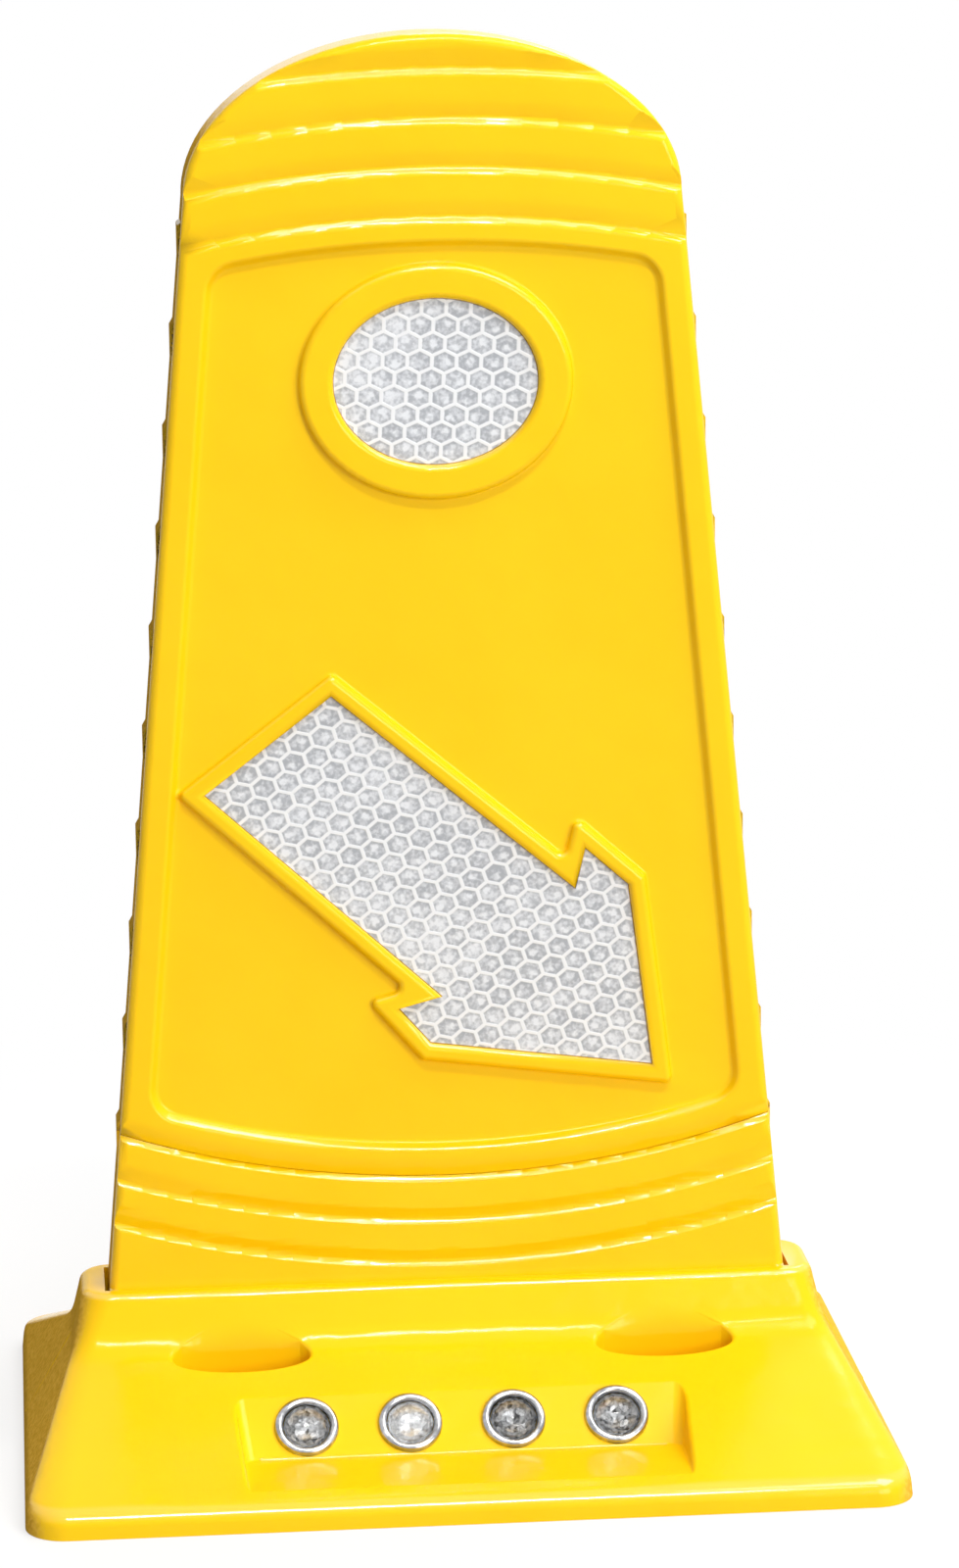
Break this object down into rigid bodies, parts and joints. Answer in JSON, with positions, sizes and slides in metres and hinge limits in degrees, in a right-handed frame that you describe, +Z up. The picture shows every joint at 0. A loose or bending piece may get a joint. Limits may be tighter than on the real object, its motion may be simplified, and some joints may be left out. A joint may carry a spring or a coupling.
{
  "type": "flexible bollard",
  "caption": "Flexible lane bollard: a flat tapered panel with a round reflector and an arrow reflector bends on a rubber neck clamped in a hipped base with bead reflectors.",
  "frame": {"origin": "on the ground at the middle of the base", "axes": "+Z up, -Y is the front that the picture shows, +X to its right"},
  "size_m": [0.38, 0.28, 0.6185],
  "materials": {
    "base_yellow": "glossy moulded",
    "panel_yellow": "glossy moulded",
    "neck_yellow": "smooth moulded",
    "reflective_sheet": "honeycomb reflective sheet",
    "bead_ring": "bright",
    "bead_glass": "clear, mirrored behind",
    "steel": "zinc plated"
  },
  "bodies": {
    "base": {"base_moulding": "base_yellow", "flex_neck": "neck_yellow", "clamp_plate": "steel", "clamp_screws": "steel", "front_bead_ring_1": "bead_ring", "front_bead_ring_2": "bead_ring", "front_bead_ring_3": "bead_ring", "front_bead_ring_4": "bead_ring", "front_bead_lens_1": "bead_glass", "front_bead_lens_2": "bead_glass", "front_bead_lens_3": "bead_glass", "front_bead_lens_4": "bead_glass", "rear_bead_ring_1": "bead_ring", "rear_bead_ring_2": "bead_ring", "rear_bead_ring_3": "bead_ring", "rear_bead_ring_4": "bead_ring", "rear_bead_lens_1": "bead_glass", "rear_bead_lens_2": "bead_glass", "rear_bead_lens_3": "bead_glass", "rear_bead_lens_4": "bead_glass"},
    "panel": {"front_panel_shell": "panel_yellow", "rear_panel_shell": "panel_yellow", "front_round_reflector": "reflective_sheet", "rear_round_reflector": "reflective_sheet", "front_arrow_reflector": "reflective_sheet", "rear_arrow_reflector": "reflective_sheet", "panel_dowels": "steel"}
  },
  "joints": [
    {"name": "panel_flex", "type": "hinge", "parent": "base", "child": "panel", "pos_m": [0, 0, 0.091], "axis": [1, 0, 0], "range_deg": [-80, 80], "stiffness_Nm_per_rad": 60, "deforming": ["flex_neck"]}
  ]
}
